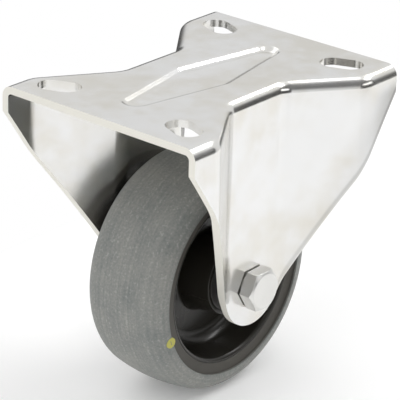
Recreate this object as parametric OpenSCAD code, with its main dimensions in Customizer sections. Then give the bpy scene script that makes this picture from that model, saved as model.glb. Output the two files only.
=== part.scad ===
// Fixed castor: a one-piece pressed bracket, a clamping bolt and a wheel on two ball bearings.
// The origin is the centre of the plate's top face. X is the rolling direction, Y the axle, Z up.

/* [Bracket plate] */
// Length of the plate in the rolling direction
plate_len = 100; // [92:1:120]
// Width over the outer faces at the plate's corners
plate_w = 80; // [78:1:100]
// Thickness of the steel sheet
sheet_t = 2.5; // [2:0.1:3]
// Outer radius of the bend between the plate and the legs
bend_r = 4; // [3.5:0.1:5]

/* [Waist] */
// Distance from the middle plane to a leg's outer face at the axle
waist_y = 23.3; // [22:0.1:26]
// Where the front of the straight waist ends, from the axle
waist_in_front = 13.8; // [12:0.1:16]
// Distance from the plate's front end to where the front flare reaches the full width
flare_end_front = 11.6; // [11:0.1:16]
// Where the rear of the straight waist ends, from the axle
waist_in_rear = 13; // [12:0.1:16]
// Distance from the plate's rear end to where the rear flare reaches the full width
flare_end_rear = 15; // [11:0.1:17]
// Radius of the crease where the waist turns out into the flare
crease_in_r = 7; // [4:0.5:12]
// Radius of the crease where the flare turns into the corner
crease_out_r = 9; // [6:0.5:12]

/* [Slots and recess] */
// Width of a bolt slot
slot_w = 9; // [7:0.1:9.4]
// Length of a bolt slot over its round ends
slot_len = 14.6; // [11:0.1:15]
// Distance of a slot's centre from the plate's end
slot_end = 11.1; // [10:0.1:13]
// Distance of a slot's centre from a leg's outer face at the corner
slot_side = 14.2; // [13.6:0.1:17]
// Turn of a slot away from the axle direction
slot_turn = 21; // [10:1:30]
// Distance from a tip of the pressed recess to the plate's end
recess_end = 14; // [13:1:30]
// Width of the recess at its middle
recess_w = 21; // [12:1:26]
// Radius of the recess's narrow ends
recess_end_r = 4.5; // [2.5:0.1:5]
// Depth of the recess
recess_depth = 1.4; // [0.6:0.1:1.8]
// Width of the recess's sloped edge, seen from above
recess_slope = 1.6; // [1:0.1:2.4]

/* [Legs] */
// Distance of the axle below the plate's top face
axle_drop = 67; // [62:1:75]
// Radius of a leg's round end about the axle
leg_end_r = 13.5; // [11:0.1:15]
// Height of the upright edge at each corner, below the plate's top face
corner_drop = 9; // [7:0.1:12]
// Radius of the slightly hollow tapered edge of a leg
flank_r = 515; // [300:5:900]

/* [Axle bolt and nut] */
// Diameter of the bolt's shank
bolt_d = 8; // [7:0.1:8.6]
// Radial clearance of the bolt in the legs
bolt_gap = 0.1; // [0.05:0.05:0.3]
// Width across the flats of the head and the nut
hex_af = 13; // [12:0.1:14]
// Diameter of the flat round face at the chamfered end of the head and the nut
hex_face_d = 11.7; // [10.5:0.1:12.4]
// Height of the bolt's head
head_h = 5.3; // [4.5:0.1:6]
// Turn of the head about the axle
head_turn = 1.3; // [0:0.1:30]
// Turn of the lock nut about the axle
nut_turn = 30; // [0:1:59]
// Height of the lock nut
nut_h = 8; // [6.5:0.1:9]
// Height of the nut's plastic ring above its steel hexagon
nut_collar_h = 2.4; // [1.5:0.1:3]
// Length of bolt that shows past the nut
thread_out = 2; // [0.5:0.1:6]
// Chamfer at the bolt's end
bolt_chamfer = 0.8; // [0.3:0.1:1.2]

/* [Bearings] */
// Outer diameter of a ball bearing
bearing_d = 22; // [21:0.1:24]
// Width of a ball bearing
bearing_w = 7; // [6.5:0.1:8]
// Wall of the inner ring beside its groove
inner_ring_wall = 2.05; // [1.6:0.05:2.2]
// Wall of the outer ring beside its groove
outer_ring_wall = 2.2; // [1.8:0.05:2.4]
// Number of balls in a bearing
ball_n = 7; // [5:1:8]
// Diameter of a ball
ball_d = 3.97; // [3.4:0.01:4.1]
// Running clearance between a ball and its grooves
ball_gap = 0.03; // [0.02:0.01:0.06]
// Clearance between a ball and its pocket in the cage
pocket_gap = 0.2; // [0.1:0.05:0.3]
// Radial thickness of the cage
cage_t = 1.3; // [0.9:0.1:1.5]
// Thickness of a rubber seal
seal_t = 0.6; // [0.4:0.1:0.7]
// Radial width of the seat that holds a seal
seal_seat = 0.7; // [0.5:0.05:0.9]
// Gap between a seal and the inner ring
seal_gap = 0.15; // [0.1:0.05:0.3]
// How far a bearing sits back from the hub's end
bearing_set = 0.2; // [0.1:0.1:0.5]
// Outer diameter of the spacer tube and of the collars
spacer_d = 12; // [11:0.1:12.4]

/* [Wheel] */
// Diameter of the wheel
wheel_d = 80; // [76:1:84]
// Width of the tyre
tyre_w = 32; // [30:0.5:34]
// Radius of the tyre's shoulders
shoulder_r = 6; // [4:0.5:7]
// Radius across the tread, which makes its crown
crown_r = 60; // [50:5:120]
// Height of the rounded shoulder, from the tread's crown in to the flat side band
band_drop = 7.2; // [6.8:0.1:8]
// How far the side band lies inside the tyre's full width
band_set = 0.9; // [0.4:0.1:1.4]
// Height of the tyre's side, from the tread's crown in to the rim's lip
tyre_side_h = 10.8; // [10:0.1:11.2]
// Thickness of the rim's lip
lip_t = 0.9; // [0.6:0.1:1.2]
// How far the rim's lip lies inside the tyre's full width
lip_set = 1.4; // [1:0.1:2]
// Thickness of the tyre on the rim
tyre_t = 9; // [8.2:0.1:9.6]
// Height of the rim's ridge that keys into the tyre
key_h = 1.5; // [0.8:0.1:2]
// Width of that ridge
key_w = 8; // [5:0.5:12]
// Width of the dish's sloping side, from the rim's lip in to the dish's floor
dish_side_w = 5.2; // [3.7:0.1:7]
// Distance of the dish's floor edge from the middle plane
dish_y = 6; // [4:0.1:8]
// Thickness of the web between the rim and the hub
web_t = 5; // [3:0.1:6]
// Length of the hub
hub_len = 30; // [28:0.5:34]
// Thickness of the hub's wall round a bearing
hub_wall = 1.5; // [1.2:0.1:4]
// Slope of the hub's outside, as growth in radius towards the web
hub_draft = 1.2; // [0.4:0.1:2]
// Step inside the hub that stops a bearing
hub_step = 1.6; // [1:0.1:2.2]
// Diameter of the round marker in the tyre's shoulder
marker_d = 3.6; // [2:0.1:5]
// Depth of the marker in the tyre
marker_depth = 1; // [0.6:0.1:1.4]
// How far the marker stands proud of the shoulder
marker_proud = 0.1; // [0.05:0.05:0.2]
// Distance of the marker's centre in from the tread's crown
marker_drop = 6.4; // [3:0.1:7]
// Angle of the marker round the axle
marker_turn = 200; // [0:1:359]

/* [Hidden] */

$fn = 96;
// Segments of the long shallow arcs
long_fn = 720;
// Flat steps in each crease of the side walls, in the bend's section and along a leg's tapered edge
crease_n = 7;
bend_n = 8;
flank_n = 12;
// Segments of the balls
ball_fn = 32;
// Margin by which a cut passes a face
cut = 1;

near = -1;
far = 1;
end_x = plate_len / 2;
corner_y = plate_w / 2;
waist_out_front = end_x - flare_end_front;
waist_out_rear = end_x - flare_end_rear;
slot_x = end_x - slot_end;
slot_y = corner_y - slot_side;
recess_len = plate_len - 2 * recess_end;
leg_in_y = waist_y - sheet_t;
leg_foot_z = -axle_drop - leg_end_r;
hex_corner_d = hex_af / cos(30);
shank_r = bolt_d / 2;
wheel_r = wheel_d / 2;
band_r = wheel_r - band_drop;
rim_r = wheel_r - tyre_t;
lip_r = wheel_r - tyre_side_h;
dish_r = lip_r - dish_side_w;
marker_r = wheel_r - marker_drop;
half_w = tyre_w / 2;
bearing_r = bearing_d / 2;
pitch_r = (shank_r + bearing_r) / 2;
ball_r = ball_d / 2;
bearing_y = hub_len / 2 - bearing_set - bearing_w / 2;
bearing_in_y = bearing_y - bearing_w / 2;
bearing_out_y = bearing_y + bearing_w / 2;
seal_r = bearing_r - outer_ring_wall + seal_seat;
hub_r = bearing_r + hub_wall;
lip_y = half_w - lip_set;
band_y = half_w - band_set;

// A body turned about the axle, from its half section with x as the radius and y along the axle
module turned() {
    translate([0, 0, -axle_drop]) rotate([-90, 0, 0]) rotate_extrude() children();
}

// A straight tube along the axle from one distance to another
module axle_tube(r_out, r_in, y0, y1) {
    translate([0, y0, -axle_drop]) rotate([-90, 0, 0]) difference() {
        cylinder(r = r_out, h = y1 - y0);
        translate([0, 0, -cut]) cylinder(r = r_in, h = y1 - y0 + 2 * cut);
    }
}

// Stations along one crease: the outer face's x, y and its direction as seen from above
function crease(centre, radius, from, to) = [
    for (i = [0 : crease_n]) let (t = from + (to - from) * i / crease_n)
        [centre.x - radius * sin(t), centre.y + radius * cos(t), t]
];

// Stations from the middle of the far side to the plate's end
function half_stations(x_in, x_out) =
    let (a = atan2(corner_y - waist_y, x_out - x_in), shift = tan(a / 2))
    concat(
        crease([x_in - crease_in_r * shift, waist_y + crease_in_r], -crease_in_r, 0, a),
        crease([x_out + crease_out_r * shift, corner_y - crease_out_r], crease_out_r, a, 0),
        [[end_x, corner_y, 0]]
    );

// Stations of the whole far side, from the front end to the rear end
function side_stations() =
    let (front = half_stations(waist_in_front, waist_out_front))
    concat(
        [for (i = [len(front) - 1 : -1 : 0]) [-front[i].x, front[i].y, -front[i].z]],
        half_stations(waist_in_rear, waist_out_rear)
    );

// An arc of the bend's section as [distance in from the outer face, z]
function bend_arc(radius, from, to) = [
    for (i = [0 : bend_n]) let (t = from + (to - from) * i / bend_n)
        [bend_r - radius * cos(t), -bend_r + radius * sin(t)]
];

// Half of the folded section: up the outside, over the bend, back and down the inside
function outer_line() = concat([[0, leg_foot_z - cut]], bend_arc(bend_r, 0, 90));
function inner_line() = concat(bend_arc(bend_r - sheet_t, 90, 0), [[sheet_t, leg_foot_z - cut]]);

// A point of the folded section at a station, on the far side or, as its mirror image, on the near side
function far_point(at, p) = [at.x + p.x * sin(at.z), at.y - p.x * cos(at.z), p.y];
function near_point(at, p) = [at.x + p.x * sin(at.z), -at.y + p.x * cos(at.z), p.y];

// The points of one folded section at a station
function station_points(at) =
    let (outer = outer_line(), inner = inner_line(), last = len(outer) - 1)
    concat(
        [for (p = outer) far_point(at, p)],
        [for (i = [last : -1 : 0]) near_point(at, outer[i])],
        [for (i = [last : -1 : 0]) near_point(at, inner[i])],
        [for (p = inner) far_point(at, p)]
    );

// The folded sheet before it is trimmed: one section carried through all stations
module folded_sheet() {
    stations = side_stations();
    n = len(station_points(stations[0]));
    last = len(stations) - 1;
    end_strip = [for (k = [0 : n / 2 - 2]) [k, k + 1, n - 2 - k, n - 1 - k]];
    polyhedron(
        points = [for (at = stations) each station_points(at)],
        faces = concat(
            end_strip,
            [for (i = [0 : last - 1], k = [0 : n - 1])
                [i * n + k, (i + 1) * n + k, (i + 1) * n + (k + 1) % n, i * n + (k + 1) % n]],
            [for (f = end_strip) [for (k = [3 : -1 : 0]) last * n + f[k]]]
        ),
        convexity = 6
    );
}

// Side view of the legs: upright corners, hollowed tapers and a round end about the axle
module leg_outline() {
    rise = axle_drop - corner_drop;
    reach = norm([end_x, rise]);
    far_r = leg_end_r + flank_r;
    lean = acos((reach * reach + far_r * far_r - flank_r * flank_r) / (2 * reach * far_r));
    turn = atan2(rise, end_x) - lean;
    flank_c = [far_r * cos(turn), far_r * sin(turn)];
    from = turn + 180;
    to = atan2(rise - flank_c.y, end_x - flank_c.x) + (rise > flank_c.y ? 0 : 360);
    flank = [for (i = [0 : flank_n]) let (t = from + (to - from) * i / flank_n)
        [flank_c.x + flank_r * cos(t), flank_c.y + flank_r * sin(t) - axle_drop]];
    polygon(concat(
        [[0, -axle_drop]], flank, [[end_x, 0], [-end_x, 0]],
        [for (i = [flank_n : -1 : 0]) [-flank[i].x, flank[i].y]]
    ));
    translate([0, -axle_drop]) circle(leg_end_r);
}

// A bolt slot seen from above, about its own centre
module slot_outline() {
    half = (slot_len - slot_w) / 2;
    translate([-slot_w / 2, -half]) square([slot_w, 2 * half]);
    for (end = [-1, 1]) translate([0, end * half]) circle(d = slot_w);
}

// The pressed recess as a body with sloping sides, grown outwards by grow
module recess_form(grow) {
    tip = recess_len / 2 - recess_end_r;
    hull() {
        linear_extrude(cut) recess_outline(tip, grow);
        translate([0, 0, -recess_depth]) linear_extrude(cut / 100)
            recess_outline(tip - recess_slope, grow - recess_slope);
    }
}

// The recess's outline: a long diamond with round corners
module recess_outline(tip, grow) {
    side = recess_w / 2 - recess_end_r;
    for (end = [-1, 1]) {
        translate([end * tip, 0]) circle(recess_end_r + grow, $fn = 32);
        translate([0, end * side]) circle(recess_end_r + grow, $fn = 32);
    }
}

module bracket() {
    bulge_grow = sheet_t * tan(atan2(recess_depth, recess_slope) / 2);
    color([0.84, 0.84, 0.82]) difference() {
        union() {
            intersection() {
                folded_sheet();
                rotate([90, 0, 0]) translate([0, 0, -corner_y - cut])
                    linear_extrude(2 * (corner_y + cut)) leg_outline();
            }
            translate([0, 0, -sheet_t]) recess_form(bulge_grow);
        }
        recess_form(0);
        for (x = [-slot_x, slot_x], y = [-slot_y, slot_y])
            translate([x, y, -sheet_t - cut]) rotate([0, 0, -slot_turn * sign(x * y)])
                linear_extrude(sheet_t + 2 * cut) slot_outline();
        translate([0, -corner_y, -axle_drop]) rotate([-90, 0, 0])
            cylinder(r = shank_r + bolt_gap, h = plate_w);
    }
}

// A hexagon along the axle with its corners chamfered at the outer end
module hex_block(height, turn) {
    face_r = hex_face_d / 2;
    far_r = hex_corner_d / 2 + cut;
    intersection() {
        rotate([0, 0, turn]) cylinder(d = hex_corner_d, h = height, $fn = 6);
        rotate_extrude() polygon([
            [0, 0], [far_r, 0], [far_r, height - (far_r - face_r) * tan(30)], [face_r, height], [0, height]
        ]);
    }
}

module axle_bolt() {
    length = 2 * waist_y + nut_h + thread_out;
    color([0.80, 0.81, 0.82]) union() {
        translate([0, -waist_y, -axle_drop]) rotate([90, 0, 0]) hex_block(head_h, head_turn);
        translate([0, -waist_y, -axle_drop]) rotate([-90, 0, 0]) {
            cylinder(r = shank_r, h = length - bolt_chamfer);
            translate([0, 0, length - bolt_chamfer])
                cylinder(r1 = shank_r, r2 = shank_r - bolt_chamfer, h = bolt_chamfer);
        }
    }
}

module lock_nut_body() {
    steel_h = nut_h - nut_collar_h;
    color([0.80, 0.81, 0.82]) translate([0, waist_y, -axle_drop]) rotate([-90, 0, 0]) difference() {
        union() {
            hex_block(steel_h, nut_turn);
            cylinder(d = hex_af * 0.88, h = nut_h);
        }
        translate([0, 0, -cut]) cylinder(r = shank_r, h = nut_h + 2 * cut);
        translate([0, 0, steel_h]) cylinder(r = shank_r + 1, h = nut_collar_h - 0.5);
    }
}

module lock_nut_ring() {
    steel_h = nut_h - nut_collar_h;
    color([0.15, 0.32, 0.62]) axle_tube(
        shank_r + 1, shank_r, waist_y + steel_h, waist_y + nut_h - 0.5);
}

module spacer_tube() {
    color([0.72, 0.73, 0.74]) axle_tube(spacer_d / 2, shank_r, -bearing_in_y, bearing_in_y);
}

module collar(side) {
    y0 = side < 0 ? -leg_in_y : bearing_out_y;
    color([0.72, 0.73, 0.74]) axle_tube(spacer_d / 2, shank_r, y0, y0 + leg_in_y - bearing_out_y);
}

module collar_near() {
    collar(near);
}

module collar_far() {
    collar(far);
}

// The ball groove shared by both rings, as a section
module groove_section() {
    translate([pitch_r, 0]) circle(ball_r + ball_gap, $fn = 48);
}

module inner_ring(side) {
    color([0.70, 0.71, 0.72]) translate([0, side * bearing_y, 0]) turned() difference() {
        translate([shank_r, -bearing_w / 2]) square([inner_ring_wall, bearing_w]);
        groove_section();
    }
}

module outer_ring(side) {
    color([0.70, 0.71, 0.72]) translate([0, side * bearing_y, 0]) turned() difference() {
        translate([bearing_r - outer_ring_wall, -bearing_w / 2]) square([outer_ring_wall, bearing_w]);
        groove_section();
        for (end = [-1, 1]) translate([0, end * (bearing_w / 2 - seal_t / 2) - seal_t / 2])
            square([seal_r, seal_t]);
    }
}

// The ball centres of a bearing, for its children
module at_balls(side) {
    for (i = [0 : ball_n - 1]) translate([0, side * bearing_y, -axle_drop])
        rotate([0, i * 360 / ball_n, 0]) translate([pitch_r, 0, 0]) children();
}

module balls(side) {
    color([0.78, 0.79, 0.80]) at_balls(side) sphere(r = ball_r, $fn = ball_fn);
}

// A cage: a ring with a round pocket through it for each ball, cut open on the side towards the far side
module cage(side) {
    back = ball_r + 0.35;
    mouth = ball_r * 0.45;
    color([0.25, 0.22, 0.16]) difference() {
        axle_tube(pitch_r + cage_t / 2, pitch_r - cage_t / 2,
            side * bearing_y - (side < 0 ? back : mouth), side * bearing_y + (side < 0 ? mouth : back));
        at_balls(side) rotate([0, 90, 0])
            cylinder(r = ball_r + pocket_gap, h = cage_t + 2 * ball_r, center = true);
    }
}

// A rubber seal at the bearing's outer end (out = 1) or inner end (out = -1)
module seal(side, out) {
    seal_in_r = shank_r + inner_ring_wall + seal_gap;
    seal_y = side * (bearing_y + out * (bearing_w - seal_t) / 2);
    color([0.10, 0.10, 0.10]) turned()
        translate([seal_in_r, seal_y - seal_t / 2]) square([seal_r - seal_in_r, seal_t]);
}

module bearing_near_inner_ring() {
    inner_ring(near);
}

module bearing_near_outer_ring() {
    outer_ring(near);
}

module bearing_near_cage() {
    cage(near);
}

module bearing_near_balls() {
    balls(near);
}

module bearing_near_outer_seal() {
    seal(near, 1);
}

module bearing_near_inner_seal() {
    seal(near, -1);
}

module bearing_far_inner_ring() {
    inner_ring(far);
}

module bearing_far_outer_ring() {
    outer_ring(far);
}

module bearing_far_cage() {
    cage(far);
}

module bearing_far_balls() {
    balls(far);
}

module bearing_far_outer_seal() {
    seal(far, 1);
}

module bearing_far_inner_seal() {
    seal(far, -1);
}

// Outer outline of the rim, which is also the inner outline of the tyre
module rim_outline() {
    polygon([
        [0, -lip_y], [lip_r, -lip_y], [rim_r, -lip_y + 2.4], [rim_r, -key_w / 2 - key_h],
        [rim_r + key_h, -key_w / 2], [rim_r + key_h, key_w / 2], [rim_r, key_w / 2 + key_h],
        [rim_r, lip_y - 2.4], [lip_r, lip_y], [0, lip_y]
    ]);
}

// The open dish on one side of the wheel, between the hub and the rim's lip
module dish_outline() {
    floor_y = web_t / 2;
    foot_r = hub_r + hub_draft;
    floor_w = dish_r - foot_r;
    mouth_r = lip_r - lip_t;
    polygon([
        [hub_r, half_w], [hub_r, lip_y], [foot_r, floor_y + 1.2], [foot_r + 0.1 * floor_w, floor_y],
        [dish_r - 0.4 * floor_w, floor_y], [dish_r - 0.14 * floor_w, floor_y + 0.9], [dish_r, dish_y],
        [mouth_r, lip_y], [mouth_r, half_w]
    ]);
}

module wheel_core() {
    color([0.08, 0.08, 0.075]) turned() difference() {
        union() {
            rim_outline();
            translate([0, -hub_len / 2]) square([hub_r, hub_len]);
        }
        for (end = [0, 1]) mirror([0, end]) {
            dish_outline();
            translate([0, bearing_in_y]) square([bearing_r, hub_len]);
        }
        translate([0, -hub_len]) square([bearing_r - hub_step, 2 * hub_len]);
    }
}

// Outer section of the tyre: a crowned tread that runs into round shoulders
module tyre_outline(grow) {
    shoulder_y = half_w - shoulder_r;
    crown_c = wheel_r - crown_r;
    lean = asin(shoulder_y / (crown_r - shoulder_r));
    shoulder_x = crown_c + (crown_r - shoulder_r) * cos(lean);
    far_x = crown_c + 2 * crown_r;
    fan_y = 2 * crown_r * tan(lean);
    intersection() {
        translate([crown_c, 0]) circle(crown_r + grow, $fn = long_fn);
        polygon([[crown_c, 0], [far_x, -fan_y], [far_x, fan_y]]);
        translate([0, -half_w]) square([far_x, tyre_w]);
    }
    for (side = [-1, 1]) translate([shoulder_x, side * shoulder_y]) circle(shoulder_r + grow);
    translate([0, -shoulder_y]) square([shoulder_x, 2 * shoulder_y]);
}

// The marker's place: on the near shoulder, square to its surface
module at_marker() {
    shoulder_y = half_w - shoulder_r;
    lean = asin(shoulder_y / (crown_r - shoulder_r));
    shoulder_x = wheel_r - crown_r + (crown_r - shoulder_r) * cos(lean);
    tilt = asin((marker_r - shoulder_x) / shoulder_r);
    translate([0, 0, -axle_drop]) rotate([0, -marker_turn, 0])
        translate([shoulder_x, -shoulder_y, 0]) rotate([90, 0, 0]) rotate([0, tilt, 0])
            translate([0, 0, shoulder_r]) children();
}

module tyre_body() {
    turned() difference() {
        intersection() {
            tyre_outline(0);
            translate([lip_r - cut, -half_w]) square([wheel_r, tyre_w]);
        }
        rim_outline();
        for (side = [0, 1]) mirror([0, side]) polygon([
            [0, lip_y], [lip_r, lip_y], [band_r, band_y], [band_r, half_w + cut], [0, half_w + cut]
        ]);
    }
}

module tyre() {
    color([0.42, 0.43, 0.42]) difference() {
        tyre_body();
        at_marker() translate([0, 0, -marker_depth]) cylinder(d = marker_d, h = marker_depth + 2 * cut);
    }
}

module marker_dot() {
    color([0.76, 0.74, 0.30]) intersection() {
        turned() tyre_outline(marker_proud);
        at_marker() translate([0, 0, -marker_depth]) cylinder(d = marker_d, h = marker_depth + 2 * cut);
    }
}

bracket();
axle_bolt();
lock_nut_body();
lock_nut_ring();
spacer_tube();
collar_near();
collar_far();
bearing_near_inner_ring();
bearing_near_outer_ring();
bearing_near_cage();
bearing_near_balls();
bearing_near_outer_seal();
bearing_near_inner_seal();
bearing_far_inner_ring();
bearing_far_outer_ring();
bearing_far_cage();
bearing_far_balls();
bearing_far_outer_seal();
bearing_far_inner_seal();
wheel_core();
tyre();
marker_dot();
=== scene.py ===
"""Fixed castor: its visible pieces, their finishes, the studio and the camera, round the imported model."""

import logging
import math
from collections.abc import Callable, Iterator, Sequence
from contextlib import contextmanager
from dataclasses import dataclass
from enum import Enum

import bpy
from mathutils import Matrix, Vector


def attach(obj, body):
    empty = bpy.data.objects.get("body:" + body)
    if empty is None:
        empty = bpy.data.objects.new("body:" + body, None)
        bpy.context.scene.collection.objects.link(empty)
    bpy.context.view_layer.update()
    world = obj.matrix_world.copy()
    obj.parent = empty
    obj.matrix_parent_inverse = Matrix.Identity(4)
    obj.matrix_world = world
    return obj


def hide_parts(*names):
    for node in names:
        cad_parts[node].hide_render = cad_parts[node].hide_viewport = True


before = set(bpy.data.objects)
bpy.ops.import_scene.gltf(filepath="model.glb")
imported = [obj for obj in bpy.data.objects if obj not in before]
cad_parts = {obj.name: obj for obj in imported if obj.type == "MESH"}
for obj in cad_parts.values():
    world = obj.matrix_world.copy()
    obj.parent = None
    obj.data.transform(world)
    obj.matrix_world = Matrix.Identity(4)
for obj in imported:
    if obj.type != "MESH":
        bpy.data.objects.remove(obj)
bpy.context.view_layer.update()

log = logging.getLogger("castor")

Point2 = tuple[float, float]
Point3 = tuple[float, float, float]
Colour = tuple[float, float, float]

AXLE_Z = -0.067
PLATE_LENGTH = 0.100
SHEET = 0.0025
LEG_FACE = 0.0233
SHANK_RADIUS = 0.004
BEARING_RADIUS = 0.011

CUT_FACE = "cut_face"
SAME_PLACE = 1e-5
SEED_SIZE = 0.001
LOOP_DOUBLES = 1e-7
PRISM_DOUBLES = 1e-6
TURNED_DOUBLES = 2e-6
FACING = 0.9
SMOOTH_ANGLE = 30.0
EDGE_ANGLE = 28.0
NORMAL_WEIGHT = 60
HEXAGON_TURN = 30.0


class Body(Enum):
    """The rigid bodies that the new pieces ride on."""

    FRAME = "frame"
    WHEEL = "wheel"


class Side(Enum):
    """Which side of the middle plane a piece is on."""

    NEAR = -1
    FAR = 1


# Shader sockets


class Value:
    """A shader socket that adds Math nodes when it is used in an expression."""

    def __init__(self, tree: "Graph", socket: bpy.types.NodeSocket) -> None:
        """Wraps one output socket of a tree."""
        self.tree = tree
        self.socket = socket

    def _math(self, operation: str, *terms: "Value | float") -> "Value":
        """Adds one Math node.

        Args:
            operation: the node's operation.
            terms: its inputs in order.

        Returns:
            The node's result.
        """
        return self.tree.node("ShaderNodeMath", {"operation": operation}, dict(enumerate(terms)))

    def __add__(self, other: "Value | float") -> "Value":
        """Sum."""
        return self._math("ADD", self, other)

    __radd__ = __add__

    def __mul__(self, other: "Value | float") -> "Value":
        """Product."""
        return self._math("MULTIPLY", self, other)

    __rmul__ = __mul__

    def __sub__(self, other: "Value | float") -> "Value":
        """Difference."""
        return self._math("SUBTRACT", self, other)

    def __rsub__(self, other: "Value | float") -> "Value":
        """Difference, the other way."""
        return self._math("SUBTRACT", other, self)

    def root(self) -> "Value":
        """Square root."""
        return self._math("SQRT", self)

    def ramp(self, low: float, high: float) -> "Value":
        """Zero at low, one at high, smooth in between.

        Args:
            low: value that gives zero.
            high: value that gives one.

        Returns:
            The smooth step.
        """
        settings = {"interpolation_type": "SMOOTHSTEP"}
        inputs = {"Value": self, "From Min": low, "From Max": high}
        return self.tree.node("ShaderNodeMapRange", settings, inputs)


class Graph:
    """A node tree to which nodes are added one by one."""

    def __init__(self, tree: bpy.types.NodeTree) -> None:
        """Wraps a node tree."""
        self.links = tree.links
        self.nodes = tree.nodes

    def node(
        self, kind: str, settings: dict[str, object], inputs: dict[int | str, object], output: int | str = 0
    ) -> Value:
        """Adds a node.

        Args:
            kind: the node's type.
            settings: its properties, set first.
            inputs: values or links for its sockets, by name or place.
            output: the socket that is returned.

        Returns:
            The chosen output.
        """
        made = self.nodes.new(kind)
        for key, setting in settings.items():
            setattr(made, key, setting)
        for key, given in inputs.items():
            self.feed(made.inputs[key], given)
        return Value(self, made.outputs[output])

    def feed(self, socket: bpy.types.NodeSocket, given: object) -> None:
        """Links or sets one input.

        Args:
            socket: the input.
            given: a Value, or a plain number or colour.
        """
        if isinstance(given, Value):
            self.links.new(given.socket, socket)
        else:
            socket.default_value = given

    def parts(self, vector: Value) -> tuple[Value, Value, Value]:
        """The three numbers of a vector."""
        made = self.node("ShaderNodeSeparateXYZ", {}, {"Vector": vector}).socket.node
        return tuple(Value(self, made.outputs[i]) for i in range(3))


class Tree(Graph):
    """A material's node tree with its Principled shader."""

    def __init__(self, name: str) -> None:
        """Makes an empty material.

        Args:
            name: the material's name.
        """
        self.material = bpy.data.materials.new(name)
        self.material.use_nodes = True
        super().__init__(self.material.node_tree)
        self.shader = self.nodes["Principled BSDF"]
        self.position = self.node("ShaderNodeTexCoord", {}, {}, "Object")

    def set(self, **sockets: object) -> None:
        """Sets the shader's sockets; an underscore in a name stands for a space."""
        for name, given in sockets.items():
            self.feed(self.shader.inputs[name.replace("_", " ")], given)

    def noise(self, scale: float, detail: float, place: Value | None = None) -> Value:
        """Noise over the piece.

        Args:
            scale: cycles a metre.
            detail: octaves.
            place: where it is taken, or None for the piece's own coordinates.

        Returns:
            The noise, about 0.5 on average.
        """
        inputs = {"Vector": place or self.position, "Scale": scale, "Detail": detail}
        return self.node("ShaderNodeTexNoise", {}, inputs)

    def blend(self, factor: Value, low: object, high: object) -> Value:
        """Mixes two colours.

        Args:
            factor: zero gives low, one gives high.
            low: a colour.
            high: a colour.

        Returns:
            The mixed colour.
        """
        settings = {"data_type": "RGBA", "clamp_factor": True}
        colours = [c if isinstance(c, Value) else (*c, 1.0) for c in (low, high)]
        return self.node("ShaderNodeMix", settings, {0: factor, 6: colours[0], 7: colours[1]}, 2)

    def bump(self, height: Value, distance: float, strength: float) -> None:
        """Feeds a bump to the shader's normal.

        Args:
            height: the relief.
            distance: its depth in metres.
            strength: its share.
        """
        inputs = {"Height": height, "Distance": distance, "Strength": strength}
        self.set(Normal=self.node("ShaderNodeBump", {}, inputs))


# Sizes that the bracket and its finish share


@dataclass(frozen=True)
class LegFlank:
    """The hollow arc down a leg's edge, from the plate's corner to the round end at the axle."""

    half_length: float = PLATE_LENGTH / 2
    corner_drop: float = 0.009
    leg_end: float = 0.0135
    radius: float = 0.515

    @property
    def rise(self) -> float:
        """Height of the arc's top over the axle."""
        return -AXLE_Z - self.corner_drop

    @property
    def turn(self) -> float:
        """Direction from the axle to the arc's centre.

        Returns:
            The angle in radians.
        """
        reach, far = math.hypot(self.half_length, self.rise), self.leg_end + self.radius
        cosine = (reach**2 + far**2 - self.radius**2) / (2 * reach * far)
        return math.atan2(self.rise, self.half_length) - math.acos(cosine)

    @property
    def hub(self) -> Point2:
        """The arc's centre, measured from the axle."""
        far = self.leg_end + self.radius
        return far * math.cos(self.turn), far * math.sin(self.turn)


LEG_FLANK = LegFlank()


# Finishes


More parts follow.
